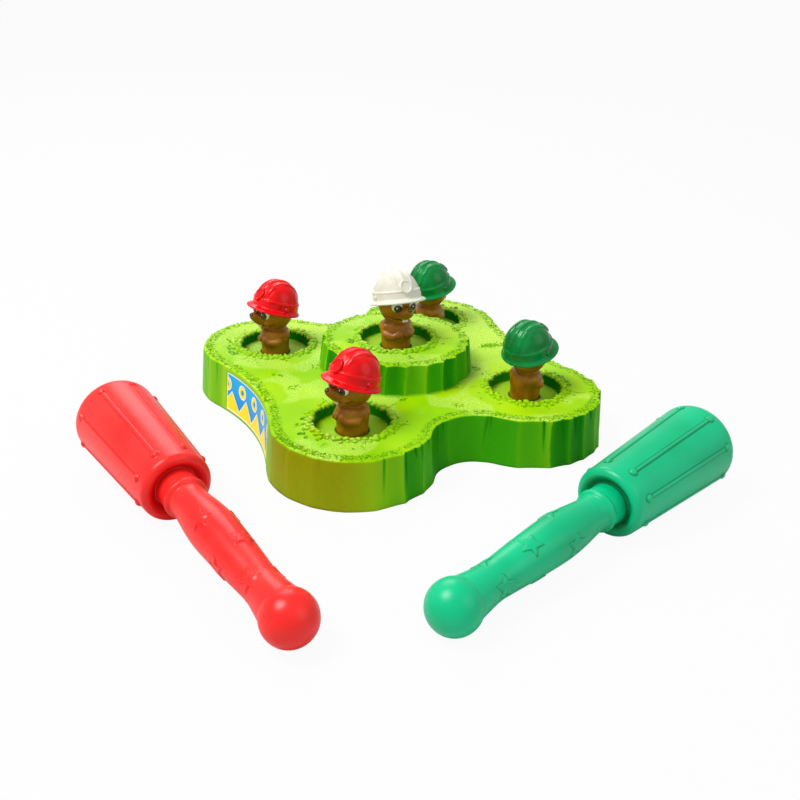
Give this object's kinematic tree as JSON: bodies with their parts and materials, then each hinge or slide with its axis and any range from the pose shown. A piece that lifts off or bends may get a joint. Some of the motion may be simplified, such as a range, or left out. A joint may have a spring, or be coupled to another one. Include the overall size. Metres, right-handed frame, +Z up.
{
  "type": "mole pounding game",
  "caption": "Battery toy: a grassy hill whose sprung helmeted moles press down in craters, with hollow mallets lying beside it.",
  "frame": {"origin": "on the table, under the middle mole's axis", "axes": "+Z up; +X to the right with the green-helmeted moles, -Y towards the front, where the middle mole looks"},
  "size_m": [0.3593, 0.3787, 0.1031],
  "materials": {
    "hill_green": "satin injection-moulded plastic with a fine grain",
    "cover_green": "plain moulded plastic, lightly spark-eroded",
    "label_print": "printed self-adhesive film, blue with yellow and white",
    "mole_brown": "glossy solid-coloured plastic with painted eyes",
    "helmet_red": "translucent glossy plastic",
    "helmet_green": "translucent glossy plastic",
    "helmet_cream": "translucent milky plastic",
    "led_clear": "clear epoxy lens",
    "plunger_white": "plain moulded acetal",
    "spring_steel": "bright spring steel",
    "board_green": "solder-masked laminate",
    "electronics_black": "black moulded epoxy",
    "knob_black": "black moulded plastic",
    "screw_steel": "zinc-plated steel",
    "cell_jacket": "plain dark jacket over a steel can",
    "contact_metal": "nickel-plated spring leaf",
    "speaker_metal": "plated pressed steel",
    "magnet_grey": "dark sintered ferrite",
    "speaker_cone": "black paper",
    "mallet_red": "satin blow-moulded plastic",
    "mallet_green": "satin blow-moulded plastic"
  },
  "bodies": {
    "base": {"hill_shell": "hill_green", "bottom_cover": "cover_green", "label_left": "label_print", "label_right": "label_print", "battery_door": "cover_green", "battery_door_screw": "screw_steel", "cover_screws": "screw_steel", "board_screws": "screw_steel", "battery_cells": "cell_jacket", "battery_contacts": "contact_metal", "main_board": "board_green", "board_parts": "electronics_black", "speaker_frame": "speaker_metal", "speaker_magnet": "magnet_grey", "speaker_cone": "speaker_cone", "power_switch_body": "electronics_black", "return_spring_centre": "spring_steel", "press_switch_centre": "electronics_black", "switch_board_front_left": "board_green", "return_spring_front_left": "spring_steel", "press_switch_front_left": "electronics_black", "switch_board_back_left": "board_green", "return_spring_back_left": "spring_steel", "press_switch_back_left": "electronics_black", "switch_board_front_right": "board_green", "return_spring_front_right": "spring_steel", "press_switch_front_right": "electronics_black", "switch_board_back_right": "board_green", "return_spring_back_right": "spring_steel", "press_switch_back_right": "electronics_black"},
    "centre_mole": {"mole_centre": "mole_brown", "helmet_centre": "helmet_cream", "led_centre": "led_clear", "plunger_centre": "plunger_white"},
    "front_left_mole": {"mole_front_left": "mole_brown", "helmet_front_left": "helmet_red", "led_front_left": "led_clear", "plunger_front_left": "plunger_white"},
    "back_left_mole": {"mole_back_left": "mole_brown", "helmet_back_left": "helmet_red", "led_back_left": "led_clear", "plunger_back_left": "plunger_white"},
    "front_right_mole": {"mole_front_right": "mole_brown", "helmet_front_right": "helmet_green", "led_front_right": "led_clear", "plunger_front_right": "plunger_white"},
    "back_right_mole": {"mole_back_right": "mole_brown", "helmet_back_right": "helmet_green", "led_back_right": "led_clear", "plunger_back_right": "plunger_white"},
    "power_knob": {"power_switch_knob": "knob_black"},
    "red_mallet_body": {"red_mallet": "mallet_red"},
    "green_mallet_body": {"green_mallet": "mallet_green"}
  },
  "joints": [
    {"name": "centre_press", "type": "slide", "parent": "base", "child": "centre_mole", "axis": [0, 0, -1], "range_m": [0, 0.007], "stiffness_N_per_m": 600, "springref_m": -0.004, "deforming": ["return_spring_centre"]},
    {"name": "front_left_press", "type": "slide", "parent": "base", "child": "front_left_mole", "axis": [0, 0, -1], "range_m": [0, 0.007], "stiffness_N_per_m": 600, "springref_m": -0.004, "deforming": ["return_spring_front_left"]},
    {"name": "back_left_press", "type": "slide", "parent": "base", "child": "back_left_mole", "axis": [0, 0, -1], "range_m": [0, 0.007], "stiffness_N_per_m": 600, "springref_m": -0.004, "deforming": ["return_spring_back_left"]},
    {"name": "front_right_press", "type": "slide", "parent": "base", "child": "front_right_mole", "axis": [0, 0, -1], "range_m": [0, 0.007], "stiffness_N_per_m": 600, "springref_m": -0.004, "deforming": ["return_spring_front_right"]},
    {"name": "back_right_press", "type": "slide", "parent": "base", "child": "back_right_mole", "axis": [0, 0, -1], "range_m": [0, 0.007], "stiffness_N_per_m": 600, "springref_m": -0.004, "deforming": ["return_spring_back_right"]},
    {"name": "power_slide", "type": "slide", "parent": "base", "child": "power_knob", "axis": [1, 0, 0], "range_m": [0, 0.004]},
    {"name": "red_mallet_lift", "type": "slide", "parent": "base", "child": "red_mallet_body", "axis": [0, 0, 1], "range_m": [0, 0.15]},
    {"name": "green_mallet_lift", "type": "slide", "parent": "base", "child": "green_mallet_body", "axis": [0, 0, 1], "range_m": [0, 0.15]}
  ]
}
